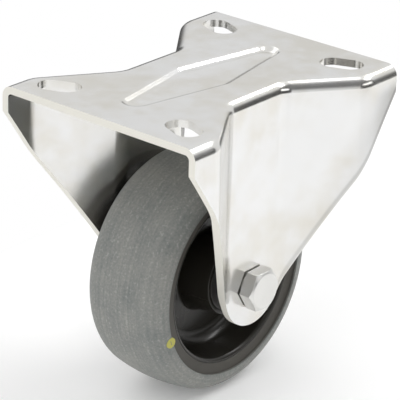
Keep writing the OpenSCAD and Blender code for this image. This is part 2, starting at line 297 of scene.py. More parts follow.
@dataclass(frozen=True)
class ZincSheet:
    """Bright zinc on pressed sheet: faintly mottled, duller on cut faces, with painted shade at the legs'
    rear edge.
    """

    name: str = "zinc sheet"
    pale: Colour = (0.80, 0.80, 0.795)
    warm: Colour = (0.73, 0.71, 0.66)
    cut_edge: Colour = (0.87, 0.85, 0.78)
    # Colour that the painted shade at the legs' rear edge is blended towards.
    painted_shade: Colour = (0.0, 0.0, 0.0)
    cloud_scales: Point2 = (30, 150)
    cloud_mix: Point2 = (0.65, 0.35)
    cloud_span: Point2 = (0.38, 0.66)
    rolled_scale: float = 60
    grain_scale: float = 900
    ripple_scale: float = 45
    roughness: float = 0.21
    rolled_spread: float = 0.12
    grain_spread: float = 0.05
    cut_roughness: float = 0.6
    cut_dulling: float = 0.8
    ripple_depth: float = 0.0004
    ripple_strength: float = 0.3
    rear_shade: float = 0.18
    rear_reach: Point2 = (0.002, 0.016)
    rear_widening: float = 0.2
    corner_shade: float = 1.3
    corner_height: Point2 = (-0.035, -0.012)
    rear_line: float = 0.2
    line_start: Point2 = (0.0, 0.0006)
    line_end: Point2 = (0.0009, 0.0018)
    leg_top: Point2 = (-0.009, -0.003)

    def _painted_rear_shade(self, tree: Tree) -> Value:
        """Painted shade towards the legs' rear edge: a wide darkening, stronger near the top corner, and a
        thin dark line just inside the edge.

        Args:
            tree: the material's tree.

        Returns:
            The share of the colour that is lost.
        """
        x, _, z = tree.parts(tree.position)
        hub = LEG_FLANK.hub
        across, down = x - hub[0], z - (hub[1] + AXLE_Z)
        inwards = (across * across + down * down).root() - LEG_FLANK.radius
        near = 1 - (inwards - self.rear_widening * z).ramp(*self.rear_reach)
        wide = near * (1 + self.corner_shade * z.ramp(*self.corner_height))
        line = inwards.ramp(*self.line_start) * (1 - inwards.ramp(*self.line_end))
        on_leg = 1 - z.ramp(*self.leg_top)
        return (self.rear_shade * wide + self.rear_line * line) * on_leg

    def build(self) -> bpy.types.Material:
        """Builds the finish.

        Returns:
            The material.
        """
        tree = Tree(self.name)
        wide, small = (tree.noise(scale, 3) for scale in self.cloud_scales)
        cloud = (self.cloud_mix[0] * wide + self.cloud_mix[1] * small).ramp(*self.cloud_span)
        rolling, grain = tree.noise(self.rolled_scale, 3) - 0.5, tree.noise(self.grain_scale, 2) - 0.5
        sheared = tree.node("ShaderNodeAttribute", {"attribute_name": CUT_FACE}, {}, "Fac")
        rolled = self.roughness + self.rolled_spread * rolling + self.grain_spread * grain
        # Painted shade: the zinc's colour is blended towards black near the legs' rear edge.
        sheet = tree.blend(self._painted_rear_shade(tree), tree.blend(cloud, self.pale, self.warm), self.painted_shade)
        tree.set(
            Base_Color=tree.blend(sheared, sheet, self.cut_edge),
            Metallic=1 - self.cut_dulling * sheared,
            Roughness=rolled * (1 - sheared) + self.cut_roughness * sheared,
        )
        tree.bump(tree.noise(self.ripple_scale, 2), self.ripple_depth, self.ripple_strength)
        return tree.material


@dataclass(frozen=True)
class TurnedSteel:
    """Plain or zinc-plated steel of turned and headed pieces."""

    name: str
    colour: Colour
    roughness: float
    worn: float = 0.88
    worn_scale: float = 120
    grain_scale: float = 700
    roughness_spread: float = 0.15

    def build(self) -> bpy.types.Material:
        """Builds the finish.

        Returns:
            The material.
        """
        tree = Tree(self.name)
        darker = tuple(self.worn * channel for channel in self.colour)
        tree.set(
            Base_Color=tree.blend(tree.noise(self.worn_scale, 2), self.colour, darker),
            Metallic=1.0,
            Roughness=self.roughness + self.roughness_spread * (tree.noise(self.grain_scale, 2) - 0.5),
        )
        return tree.material


@dataclass(frozen=True)
class TyreRubber:
    """Grey non-marking rubber with fine rolling streaks, light scuffs and painted shade on its side band."""

    name: str = "grey tyre rubber"
    dark: Colour = (0.160, 0.178, 0.174)
    light: Colour = (0.33, 0.325, 0.30)
    scuff: Colour = (0.42, 0.42, 0.40)
    # Painted shade: dark colour of the tyre's side band.
    band: Colour = (0.075, 0.070, 0.060)
    band_radius: float = 0.0327
    band_blur: float = 0.0001
    streak_scale: float = 900
    patch_scale: float = 95
    grain_scale: float = 1400
    scuff_scale: float = 1100
    shade_mix: Point3 = (0.4, 0.25, 0.35)
    shade_span: Point2 = (0.22, 0.76)
    scuff_mix: Point2 = (0.75, 0.25)
    scuff_span: Point2 = (0.53, 0.68)
    scuff_strength: float = 0.5
    roughness: float = 0.55
    roughness_spread: float = 0.25
    specular: float = 0.4
    relief: float = 0.0001
    relief_strength: float = 0.4

    def build(self) -> bpy.types.Material:
        """Builds the finish.

        Returns:
            The material.
        """
        tree = Tree(self.name)
        x, y, z = tree.parts(tree.position)
        reach = (x * x + (z - AXLE_Z) * (z - AXLE_Z)).root()
        rolled = tree.node("ShaderNodeCombineXYZ", {}, {0: reach, 1: y})
        streak = tree.noise(self.streak_scale, 3, rolled)
        patches, grain = tree.noise(self.patch_scale, 4), tree.noise(self.grain_scale, 2)
        patchy, streaky, grainy = self.shade_mix
        shade = (patchy * patches + streaky * streak + grainy * grain).ramp(*self.shade_span)
        own, along = self.scuff_mix
        rubbed = (own * tree.noise(self.scuff_scale, 4) + along * streak).ramp(*self.scuff_span)
        tread = tree.blend(rubbed * self.scuff_strength, tree.blend(shade, self.dark, self.light), self.scuff)
        # Painted shade: the side band inside band_radius takes the dark band colour.
        inside = 1 - reach.ramp(self.band_radius - self.band_blur, self.band_radius + self.band_blur)
        tree.set(
            Base_Color=tree.blend(inside, tread, self.band),
            Roughness=self.roughness + self.roughness_spread * (patches - 0.5),
            Specular_IOR_Level=self.specular,
        )
        tree.bump(0.5 * streak + 0.5 * grain, self.relief, self.relief_strength)
        return tree.material


@dataclass(frozen=True)
class Moulded:
    """A plain moulded plastic or rubber."""

    name: str
    colour: Colour
    roughness: float
    specular: float = 0.5
    roughness_spread: float = 0.08
    roughness_scale: float = 160
    wave_scale: float = 70
    wave_depth: float = 0.0003
    wave_strength: float = 0.3

    def build(self) -> bpy.types.Material:
        """Builds the finish.

        Returns:
            The material.
        """
        tree = Tree(self.name)
        tree.set(
            Base_Color=(*self.colour, 1.0),
            Roughness=self.roughness + self.roughness_spread * (tree.noise(self.roughness_scale, 3) - 0.5),
            Specular_IOR_Level=self.specular,
        )
        tree.bump(tree.noise(self.wave_scale, 2), self.wave_depth, self.wave_strength)
        return tree.material


class Finish(Enum):
    """Every finish of the castor: the record's slot and the material's recipe."""

    ZINC_SHEET = ("zinc_sheet", ZincSheet())
    ZINC_BOLT = ("zinc_bolt", TurnedSteel("zinc bolt", (0.80, 0.795, 0.77), 0.36))
    NYLON_RING = ("nylon_ring", Moulded("nylon ring", (0.06, 0.16, 0.42), 0.4))
    PLAIN_STEEL = ("plain_steel", TurnedSteel("plain steel", (0.60, 0.61, 0.62), 0.32))
    # Painted shade: the bearing rings and balls are coloured dark, where they sit in shade inside the hub.
    BEARING_STEEL = ("bearing_steel", TurnedSteel("bearing steel", (0.12, 0.115, 0.11), 0.45))
    CAGE_PLASTIC = ("cage_plastic", Moulded("cage plastic", (0.10, 0.08, 0.05), 0.5))
    SEAL_RUBBER = ("seal_rubber", Moulded("seal rubber", (0.016, 0.016, 0.016), 0.42))
    CORE_PLASTIC = ("core_plastic", Moulded("core plastic", (0.022, 0.020, 0.016), 0.25, 0.36))
    TYRE_RUBBER = ("tyre_rubber", TyreRubber())
    MARKER_YELLOW = ("marker_yellow", Moulded("marker yellow", (0.52, 0.49, 0.10), 0.5))


_materials: dict[Finish, bpy.types.Material] = {}


def dress(piece: bpy.types.Object, finish: Finish) -> None:
    """Gives a piece its finish.

    Args:
        piece: the object.
        finish: which finish.
    """
    if finish not in _materials:
        _materials[finish] = finish.value[1].build()
    piece.data.materials.clear()
    piece.data.materials.append(_materials[finish])


# Modelling by operators


def deselect() -> None:
    """Leaves nothing selected."""
    bpy.ops.object.select_all(action="DESELECT")


def make_active(piece: bpy.types.Object) -> None:
    """Selects one object and makes it active.

    Args:
        piece: the object.
    """
    deselect()
    piece.select_set(True)
    bpy.context.view_layer.objects.active = piece


@contextmanager
def editing(piece: bpy.types.Object, mode: str = "VERT") -> Iterator[None]:
    """Works on a mesh in edit mode with what is selected on it.

    Args:
        piece: the object.
        mode: VERT, EDGE or FACE.

    Yields:
        Nothing; the mesh is in edit mode meanwhile.
    """
    make_active(piece)
    bpy.ops.object.mode_set(mode="EDIT")
    bpy.ops.mesh.select_mode(type=mode)
    yield
    bpy.ops.object.mode_set(mode="OBJECT")


def pick(piece: bpy.types.Object, kind: str, test: Callable[[object], bool]) -> None:
    """Selects edges or faces in code.

    Args:
        piece: the object, in object mode.
        kind: edges or polygons.
        test: true for what is picked.
    """
    mesh = piece.data
    for group in (mesh.vertices, mesh.edges, mesh.polygons):
        group.foreach_set("select", [False] * len(group))
    for element in getattr(mesh, kind):
        if test(element):
            element.select = True
            for corner in element.vertices:
                mesh.vertices[corner].select = True


def edge_ends(piece: bpy.types.Object, edge: bpy.types.MeshEdge) -> tuple[Vector, Vector]:
    """The two ends of an edge."""
    return tuple(piece.data.vertices[v].co for v in edge.vertices)


def arc(centre: Point2, radius: float, start: float, end: float, steps: int) -> list[Point2]:
    """Points along an arc.

    Args:
        centre: its centre.
        radius: its radius.
        start: first angle in degrees.
        end: last angle in degrees.
        steps: how many chords.

    Returns:
        The points, both ends included.
    """
    angles = [math.radians(start + (end - start) * i / steps) for i in range(steps + 1)]
    return [(centre[0] + radius * math.cos(a), centre[1] + radius * math.sin(a)) for a in angles]


def drawn(name: str, points: Sequence[Vector], closed: bool = True) -> bpy.types.Object:
    """Draws an outline from one vertex by extruding it from point to point.

    Args:
        name: the piece's name.
        points: the outline's points.
        closed: whether it becomes a face.

    Returns:
        The object.
    """
    deselect()
    bpy.ops.mesh.primitive_plane_add(size=SEED_SIZE, location=points[0])
    piece = bpy.context.active_object
    piece.name = name
    with editing(piece):
        bpy.ops.mesh.select_all(action="SELECT")
        bpy.ops.mesh.merge(type="CENTER")
        for before, after in zip(points, points[1:]):
            step = Vector(after) - Vector(before)
            bpy.ops.mesh.extrude_region_move(TRANSFORM_OT_translate={"value": step})
        if closed:
            bpy.ops.mesh.select_all(action="SELECT")
            bpy.ops.mesh.edge_face_add()
    settle(piece)
    return piece


def settle(piece: bpy.types.Object) -> None:
    """Puts an object's place into its mesh."""
    make_active(piece)
    bpy.ops.object.transform_apply(location=True, rotation=True, scale=True)


def close_up(piece: bpy.types.Object, distance: float) -> None:
    """Merges doubles and turns every face outwards.

    Args:
        piece: the object.
        distance: how near two points are merged.
    """
    with editing(piece):
        bpy.ops.mesh.select_all(action="SELECT")
        bpy.ops.mesh.remove_doubles(threshold=distance)
        bpy.ops.mesh.normals_make_consistent(inside=False)


def prism(name: str, points: Sequence[Vector], along: Vector) -> bpy.types.Object:
    """A drawn face extruded into a body.

    Args:
        name: the piece's name.
        points: the face's outline.
        along: the extrusion.

    Returns:
        The object.
    """
    piece = drawn(name, points)
    with editing(piece, "FACE"):
        bpy.ops.mesh.select_all(action="SELECT")
        bpy.ops.mesh.extrude_region_move(TRANSFORM_OT_translate={"value": along})
    close_up(piece, PRISM_DOUBLES)
    return piece


def turned(name: str, section: Sequence[Point2], steps: int) -> bpy.types.Object:
    """Spins a half section about the axle.

    Args:
        name: the piece's name.
        section: closed outline as radius and place along the axle.
        steps: how many steps a turn.

    Returns:
        The object.
    """
    loop = [Vector((r, y, AXLE_Z)) for r, y in section]
    piece = drawn(name, [*loop, loop[0]], closed=False)
    with editing(piece):
        bpy.ops.mesh.select_all(action="SELECT")
        bpy.ops.mesh.remove_doubles(threshold=LOOP_DOUBLES)
        bpy.ops.mesh.select_all(action="SELECT")
        bpy.ops.mesh.spin(steps=steps, angle=math.tau, center=(0, 0, AXLE_Z), axis=(0, 1, 0))
    close_up(piece, TURNED_DOUBLES)
    return piece


def finish_modifier(piece: bpy.types.Object, kind: str, **settings: object) -> None:
    """Adds a modifier and applies it.

    Args:
        piece: the object.
        kind: the modifier's type.
        settings: its properties.
    """
    make_active(piece)
    modifier = piece.modifiers.new(kind.lower(), kind)
    for key, setting in settings.items():
        setattr(modifier, key, setting)
    bpy.ops.object.modifier_apply(modifier=modifier.name)


def cut(piece: bpy.types.Object, tool: bpy.types.Object, operation: str = "DIFFERENCE") -> None:
    """Cuts, joins or trims a piece with a tool body, which is then removed.

    Args:
        piece: the object.
        tool: the other body.
        operation: DIFFERENCE, UNION or INTERSECT.
    """
    finish_modifier(piece, "BOOLEAN", operation=operation, object=tool, solver="EXACT")
    bpy.data.objects.remove(tool)


def smooth(piece: bpy.types.Object, angle: float = SMOOTH_ANGLE, rounding: float = 0.0) -> None:
    """Rounds sharp edges a little and shades the piece.

    Args:
        piece: the object.
        angle: sharpest edge that is shaded smooth, in degrees.
        rounding: width of the rounding, zero for none.
    """
    if rounding:
        finish_modifier(
            piece, "BEVEL", width=rounding, segments=2, limit_method="ANGLE",
            angle_limit=math.radians(angle), use_clamp_overlap=True, miter_outer="MITER_ARC",
        )
    make_active(piece)
    bpy.ops.object.shade_smooth_by_angle(angle=math.radians(angle))
    finish_modifier(piece, "WEIGHTED_NORMAL", mode="FACE_AREA", weight=NORMAL_WEIGHT, keep_sharp=True)


def place(piece: bpy.types.Object, body: Body, finish: Finish, *nodes: str) -> None:
    """Dresses a finished piece and puts it on its body.

    Args:
        piece: the object.
        body: the body it rides on.
        finish: its finish.
        nodes: the model's nodes that it stands for.
    """
    dress(piece, finish)
    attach(piece, body.value)
    if nodes:
        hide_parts(*nodes)
    log.info("%s: %d faces, on %s", piece.name, len(piece.data.polygons), body.value)


def add_turned(
    name: str, section: Sequence[Point2], steps: int, body: Body, finish: Finish, *nodes: str
) -> None:
    """Adds a piece that is turned about the axle.

    Args:
        name: the piece's name.
        section: closed outline as radius and place along the axle.
        steps: how many steps a turn.
        body: the body it rides on.
        finish: its finish.
        nodes: the model's nodes that it stands for.
    """
    piece = turned(name, section, steps)
    smooth(piece)
    place(piece, body, finish, *nodes)


# The bracket


@dataclass
class Bracket:
    """One folded sheet: a waisted plate, two bends and two tapered legs."""

    length: float = PLATE_LENGTH
    width: float = 0.080
    bend_radius: float = 0.004
    waist: float = LEG_FACE
    front_in: float = 0.0138
    front_out: float = 0.0384
    rear_in: float = 0.013
    rear_out: float = 0.035
    crease_in: float = 0.007
    crease_out: float = 0.009
    crease_steps: int = 10
    bend_steps: int = 12
    over_cut: float = 0.002
    leg_spare: float = 0.001
    slot_width: float = 0.009
    slot_length: float = 0.0146
    slot_x: float = 0.0389
    slot_y: float = 0.0258
    slot_turn: float = 21.0
    slot_cut: float = 0.008
    recess_length: float = 0.072
    recess_width: float = 0.021
    recess_end: float = 0.0045
    recess_depth: float = 0.0014
    recess_slope: float = 0.0016
    recess_round: float = 0.0007
    recess_over: float = 0.001
    bulge_root: float = 0.0018
    hole_radius: float = 0.0041
    edge_round: float = 0.00028
    shear_depth: float = 0.0004
    shear_lean: Point2 = (0.25, 0.98)
    square_on: float = 0.999

    def _plan(self) -> list[Vector]:
        """The plate's outline from above with sharp corners.

        Returns:
            The points.
        """
        x, y = self.length / 2, self.width / 2
        side = [
            (-x, y), (-self.front_out, y), (-self.front_in, self.waist),
            (self.rear_in, self.waist), (self.rear_out, y), (x, y),
        ]
        outline = [*side, *((px, -py) for px, py in reversed(side))]
        return [Vector((*p, 0)) for p in outline]

    def _crease(self, sheet: bpy.types.Object, x: float, y: float, run: float, radius: float) -> None:
        """Rounds one upright crease on both sides of the plate.

        Args:
            sheet: the sheet.
            x: the crease's place along the plate.
            y: its place across the plate.
            run: the flare's length along the plate.
            radius: the rounding's radius.
        """

        def upright(e: bpy.types.MeshEdge) -> bool:
            """Whether an edge is the crease."""
            ends = edge_ends(sheet, e)
            return all(abs(p.x - x) < SAME_PLACE and abs(abs(p.y) - y) < SAME_PLACE for p in ends)

        reach = radius * math.tan(math.atan2(self.width / 2 - self.waist, run) / 2)
        pick(sheet, "edges", upright)
        with editing(sheet, "EDGE"):
            bpy.ops.mesh.bevel(offset=reach, segments=self.crease_steps, affect="EDGES", clamp_overlap=False)

    def _bend(self, sheet: bpy.types.Object) -> None:
        """Rounds the upright creases and then the long bends.

        Args:
            sheet: the sheet.
        """
        front, rear = self.front_out - self.front_in, self.rear_out - self.rear_in
        self._crease(sheet, -self.front_out, self.width / 2, front, self.crease_out)
        self._crease(sheet, self.rear_out, self.width / 2, rear, self.crease_out)
        self._crease(sheet, -self.front_in, self.waist, front, self.crease_in)
        self._crease(sheet, self.rear_in, self.waist, rear, self.crease_in)

        def folded(e: bpy.types.MeshEdge) -> bool:
            """Tells the long bends' edges.

            Args:
                e: an edge.

            Returns:
                Whether it lies between the plate's top and a leg.
            """
            ends = edge_ends(sheet, e)
            at_end = all(abs(abs(p.x) - self.length / 2) < SAME_PLACE for p in ends)
            return all(abs(p.z) < SAME_PLACE for p in ends) and not at_end

        pick(sheet, "edges", folded)
        with editing(sheet, "EDGE"):
            bpy.ops.mesh.bevel(
                offset=self.bend_radius, segments=self.bend_steps, affect="EDGES", clamp_overlap=False
            )

    def _leg_side(self) -> list[Vector]:
        """Side outline of the legs, from above the plate down round the axle.

        Returns:
            The points.
        """
        flank, hub = LEG_FLANK, LEG_FLANK.hub
        low = math.degrees(flank.turn)
        high = math.degrees(math.atan2(flank.rise - hub[1], flank.half_length - hub[0]))
        end = arc((0, 0), flank.leg_end, low, -180 - low, 40)[1:-1]
        right = [(flank.half_length, -AXLE_Z + self.over_cut), *arc(hub, flank.radius, high, low + 180, 24)]
        side = [*right, *end, *((-px, pz) for px, pz in reversed(right))]
        return [Vector((px, -self.width, pz + AXLE_Z)) for px, pz in side]

    def _slot_outline(self, sx: int, sy: int) -> list[Vector]:
        """One slot's outline above the plate.

        Args:
            sx: sign of its place in x.
            sy: sign of its place in y.

        Returns:
            The points.
        """
        half, radius = (self.slot_length - self.slot_width) / 2, self.slot_width / 2
        shape = arc((0, half), radius, 0, 180, 20) + arc((0, -half), radius, 180, 360, 20)
        turn = Matrix.Rotation(math.radians(-self.slot_turn * sx * sy), 4, "Z")
        centre = Vector((sx * self.slot_x, sy * self.slot_y, self.over_cut))
        return [centre + turn @ Vector((*p, 0)) for p in shape]

    def _recess_outline(self, grow: float, z: float) -> list[Vector]:
        """The recess's lozenge outline.

        Args:
            grow: how far it is moved outwards.
            z: its height.

        Returns:
            The points.
        """
        tip, side = self.recess_length / 2 - self.recess_end, self.recess_width / 2 - self.recess_end
        lean = math.degrees(math.atan2(tip, side))
        radius = self.recess_end + grow
        points = []
        corners = (
            ((tip, 0), 0, lean), ((0, side), 90, 90 - lean),
            ((-tip, 0), 180, lean), ((0, -side), 270, 90 - lean),
        )
        for centre, middle, spread in corners:
            points += arc(centre, radius, middle - spread, middle + spread, 12)
        return [Vector((*p, z)) for p in points]

    def _recess_body(self, name: str, grow: float, top: float, rim: float) -> bpy.types.Object:
        """The recess or its bulge as a body: upright above the rim, then sloping in.

        Args:
            name: the body's name.
            grow: how far its outline is moved outwards.
            top: height of its top.
            rim: height where the slope begins.

        Returns:
            The object.
        """
        piece = prism(name, self._recess_outline(grow, top), Vector((0, 0, rim - top)))
        pick(piece, "polygons", lambda f: f.normal.z < -FACING)
        with editing(piece, "FACE"):
            bpy.ops.mesh.inset(thickness=self.recess_slope, depth=self.recess_depth)
        return piece

    def _soften_recess(self, sheet: bpy.types.Object) -> None:
        """Rounds the recess's rim and the edge of its floor, as a press leaves them.

        Args:
            sheet: the sheet.
        """
        slack = 10 * SAME_PLACE

        def on_recess(e: bpy.types.MeshEdge) -> bool:
            """Tells the recess's edges.

            Args:
                e: an edge.

            Returns:
                Whether it lies on the rim or on the floor's outline.
            """
            ends = edge_ends(sheet, e)
            levels = (0.0, -self.recess_depth)
            level = any(all(abs(p.z - height) < SAME_PLACE for p in ends) for height in levels)
            half_x, half_y = self.recess_length / 2 + slack, self.recess_width / 2 + slack
            return level and all(abs(p.x) < half_x and abs(p.y) < half_y for p in ends)

        pick(sheet, "edges", on_recess)
        with editing(sheet, "EDGE"):
            bpy.ops.mesh.bevel(offset=self.recess_round, segments=4, affect="EDGES")

    def _mark_cuts(self, sheet: bpy.types.Object) -> None:
        """Marks the faces that the shears cut, for the finish.

        Args:
            sheet: the sheet.
        """

        def sheared(f: bpy.types.MeshPolygon) -> bool:
            """Tells the cut faces of the outline.

            Args:
                f: a face.

            Returns:
                Whether the shears made it.
            """
            n, c = f.normal, f.center
            rim = abs(c.x) > self.length / 2 - self.shear_depth or c.z < -LEG_FLANK.corner_drop
            return rim and abs(n.y) < self.shear_lean[0] and abs(n.z) < self.shear_lean[1]

        marks = sheet.data.attributes.new(CUT_FACE, "FLOAT", "FACE")
        marks.data.foreach_set("value", [float(sheared(f)) for f in sheet.data.polygons])

    def build(self) -> None:
        """Folds, trims and pierces the sheet."""
        drop = -AXLE_Z + LEG_FLANK.leg_end + self.leg_spare
        sheet = prism("bracket_sheet", self._plan(), Vector((0, 0, -drop)))
        pick(sheet, "polygons", lambda f: f.normal.z < -FACING or abs(f.normal.x) > self.square_on)
        with editing(sheet, "FACE"):
            bpy.ops.mesh.delete(type="FACE")
        self._bend(sheet)
        finish_modifier(
            sheet, "SOLIDIFY", thickness=SHEET, offset=-1, use_even_offset=True, use_quality_normals=True
        )
        cut(sheet, prism("leg_trim", self._leg_side(), Vector((0, 2 * self.width, 0))), "INTERSECT")
        grow = SHEET * math.tan(math.atan2(self.recess_depth, self.recess_slope) / 2)
        cut(sheet, self._recess_body("bulge", grow, -self.bulge_root, -SHEET), "UNION")
        cut(sheet, self._recess_body("recess", 0.0, self.recess_over, 0.0))
        self._soften_recess(sheet)
        for sx in (-1, 1):
            for sy in (-1, 1):
                cut(sheet, prism("slot", self._slot_outline(sx, sy), Vector((0, 0, -self.slot_cut))))
        deselect()
        bpy.ops.mesh.primitive_cylinder_add(
            vertices=64, radius=self.hole_radius, depth=self.width, location=(0, 0, AXLE_Z),
            rotation=(math.pi / 2, 0, 0),
        )
        cut(sheet, bpy.context.active_object)
        smooth(sheet, EDGE_ANGLE, self.edge_round)
        self._mark_cuts(sheet)
        place(sheet, Body.FRAME, Finish.ZINC_SHEET, "bracket")


# The bolt and its nut


@dataclass
class Fastening:
    """The axle bolt and its lock nut."""

    shank: float = SHANK_RADIUS
    across_flats: float = 0.013
    face_diameter: float = 0.0117
    head_height: float = 0.0053
    head_turn: float = 1.3
    nut_turn: float = 30.0
    nut_height: float = 0.008
    nut_collar: float = 0.0024
    thread_out: float = 0.002
    seat: float = 0.0004
    chamfer: float = 0.0008
    pitch: float = 0.00125
    thread_turns: int = 6
    thread_depth: float = 0.0006
    corner_spare: float = 0.0005
    chamfer_angle: float = 30.0
    shank_sunk: float = 0.001
    collar_radius: float = 0.00572
    collar_round: float = 0.0009
    collar_sunk: float = 0.0005
    collar_mouth: float = 0.0016
    collar_dip: float = 0.0005
    ring_wall: float = 0.001
    fine_step: float = 0.0001
    head_round: float = 0.00018
    nut_round: float = 0.00015

    def _hexagon(self, name: str, start: float, height: float, turn: float, both: bool) -> bpy.types.Object:
        """A hexagon along the axle with turned chamfers.

        Args:
            name: the piece's name.
            start: its inner face's place along the axle.
            height: its length, negative towards the near side.
            turn: its turn about the axle in degrees.
            both: whether its inner end is chamfered too, where it otherwise has a round seat.

        Returns:
            The object.
        """
        deselect()
        bpy.ops.mesh.primitive_cylinder_add(
            vertices=6, radius=self.across_flats / math.sqrt(3), depth=abs(height),
            location=(0, start + height / 2, AXLE_Z), rotation=(math.pi / 2, 0, 0),
        )
        piece = bpy.context.active_object
        piece.name = name
        settle(piece)
        with editing(piece):
            bpy.ops.mesh.select_all(action="SELECT")
            bpy.ops.transform.rotate(
                value=math.radians(turn + HEXAGON_TURN), orient_axis="Y", center_override=(0, 0, AXLE_Z)
            )
        corner, flat = self.across_flats / math.sqrt(3) + self.corner_spare, self.face_diameter / 2
        slope = (corner - flat) * math.tan(math.radians(self.chamfer_angle))
        end, way = start + height, math.copysign(1, height)
        foot = start + way * (slope if both else self.seat)
        seat = [] if both else [(flat, foot)]
        inner = [(0.0, start), (flat, start), *seat, (corner, foot)]
        outer = [(corner, end - way * slope), (flat, end), (0.0, end)]
        cut(piece, turned("chamfer", [*inner, *outer], 72), "INTERSECT")
        return piece

    def _bolt(self) -> None:
        """Makes the bolt's head and its shank with the end of a thread."""
        near, tip = -LEG_FACE, LEG_FACE + self.nut_height + self.thread_out
        head = self._hexagon("axle_bolt_head", near, -self.head_height, self.head_turn, False)
        smooth(head, EDGE_ANGLE, self.head_round)
        thread_end = tip - self.chamfer
        section = [(0.0, near - self.shank_sunk), (self.shank, near - self.shank_sunk)]
        for i in range(self.thread_turns, 0, -1):
            ridge = thread_end - i * self.pitch
            section += [(self.shank, ridge), (self.shank - self.thread_depth, ridge + self.pitch / 2)]
        section += [(self.shank, thread_end), (self.shank - self.chamfer, tip), (0.0, tip)]
        add_turned("axle_bolt_shank", section, 48, Body.FRAME, Finish.ZINC_BOLT)
        place(head, Body.FRAME, Finish.ZINC_BOLT, "axle_bolt")

    def _nut(self) -> None:
        """Makes the nut's hexagon, its collar and the nylon ring in the collar."""
        far, top = LEG_FACE, LEG_FACE + self.nut_height
        foot, face = top - self.nut_collar, top - self.collar_dip
        nut = self._hexagon("lock_nut_hexagon", far, self.nut_height - self.nut_collar, self.nut_turn, True)
        smooth(nut, EDGE_ANGLE, self.nut_round)
        place(nut, Body.FRAME, Finish.ZINC_BOLT)
        wall, bend, step = self.collar_radius, self.collar_round, self.fine_step
        mouth, seat = wall - self.collar_mouth, self.shank + self.ring_wall
        collar = [
            (self.shank, foot - self.collar_sunk), (wall, foot - self.collar_sunk), (wall, top - bend),
            *arc((wall - bend, top - bend), bend, 0, 90, 6), (mouth, top - step),
            (mouth - step, face), (seat, face), (seat, foot), (self.shank, foot),
        ]
        add_turned("lock_nut_collar", collar, 64, Body.FRAME, Finish.ZINC_BOLT, "lock_nut_body")
        ring = [
            (self.shank, foot), (seat, foot), (seat, face - step),
            (self.shank + 2 * step, face), (self.shank, face - 2 * step),
        ]
        add_turned("lock_nut_insert", ring, 64, Body.FRAME, Finish.NYLON_RING, "lock_nut_ring")

    def build(self) -> None:
        """Makes the bolt, the nut and the nut's ring."""
        self._bolt()
        self._nut()


# The bearings and what spaces them


@dataclass
class Bearings:
    """Two sealed ball bearings with the tube and collars between the legs."""

    bore: float = SHANK_RADIUS
    outside: float = BEARING_RADIUS
    breadth: float = 0.007
    inner_wall: float = 0.00205
    outer_wall: float = 0.0022
    seal: float = 0.0006
    seal_seat: float = 0.0007
    seal_gap: float = 0.00015
    seal_sunk: float = 0.00008
    seal_dip: float = 0.00022
    seal_edge: float = 0.0003
    seal_lip: float = 0.0004
    groove: tuple[float, float, float, float] = (-0.0007, -0.0004, 0.0005, 0.0008)
    middle: float = 0.0113
    spacer_radius: float = 0.006
    leg_inside: float = LEG_FACE - SHEET
    round_off: float = 0.0003

    def _ring(self, name: str, low: float, high: float, centre: float, body: Body) -> None:
        """One ring of a bearing, with rounded corners.

        Args:
            name: the piece's name, which begins its node's name too.
            low: its inner radius.
            high: its outer radius.
            centre: its middle along the axle.
            body: the body it rides on.
        """
        half, r = self.breadth / 2, self.round_off
        section = [
            *arc((low + r, centre - half + r), r, 180, 270, 4),
            *arc((high - r, centre - half + r), r, 270, 360, 4),
            *arc((high - r, centre + half - r), r, 0, 90, 4),
            *arc((low + r, centre + half - r), r, 90, 180, 4),
        ]
        add_turned(name, section, 96, body, Finish.BEARING_STEEL, f"{name}_ring")

    def _seal(self, name: str, centre: float, way: int, node: str) -> None:
        """A seal with a shallow pressed ring in its face.

        Args:
            name: the piece's name.
            centre: the bearing's middle along the axle.
            way: which end of the bearing, -1 or 1 along the axle.
            node: the node it stands for.
        """
        low = self.bore + self.inner_wall + self.seal_gap
        high = self.outside - self.outer_wall + self.seal_seat
        face = centre + way * (self.breadth / 2 - self.seal_sunk)
        back = face - way * (self.seal - self.seal_sunk)
        pressed = face - way * self.seal_dip
        start, down, up, end = ((low + high) / 2 + reach for reach in self.groove)
        section = [
            (low, back), (low, pressed), (low + self.seal_edge, face), (start, face), (down, pressed),
            (up, pressed), (end, face), (high - self.seal_lip, face), (high, pressed), (high, back),
        ]
        add_turned(name, section, 96, Body.WHEEL, Finish.SEAL_RUBBER, node)

    def _tube(self, name: str, start: float, end: float) -> None:
        """A plain tube on the bolt with broken edges.

        Args:
            name: the piece's name and its node's.
            start: one end along the axle.
            end: the other end.
        """
        r, high = self.round_off, self.spacer_radius
        section = [
            (self.bore, start), (high - r, start), (high, start + r),
            (high, end - r), (high - r, end), (self.bore, end),
        ]
        add_turned(f"{name}_turned", section, 72, Body.FRAME, Finish.PLAIN_STEEL, name)

    def build(self) -> None:
        """Makes both bearings, the tube and the collars."""
        for side in Side:
            centre, stem = side.value * self.middle, f"bearing_{side.name.lower()}"
            self._ring(f"{stem}_inner", self.bore, self.bore + self.inner_wall, centre, Body.FRAME)
            self._ring(f"{stem}_outer", self.outside - self.outer_wall, self.outside, centre, Body.WHEEL)
            self._seal(f"{stem}_seal_out", centre, side.value, f"{stem}_outer_seal")
            self._seal(f"{stem}_seal_in", centre, -side.value, f"{stem}_inner_seal")
            dress(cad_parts[f"{stem}_cage"], Finish.CAGE_PLASTIC)
            dress(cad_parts[f"{stem}_balls"], Finish.BEARING_STEEL)
        inner, outer = self.middle - self.breadth / 2, self.middle + self.breadth / 2
        self._tube("spacer_tube", -inner, inner)
        self._tube("collar_near", -self.leg_inside, -outer)
        self._tube("collar_far", outer, self.leg_inside)


# The wheel


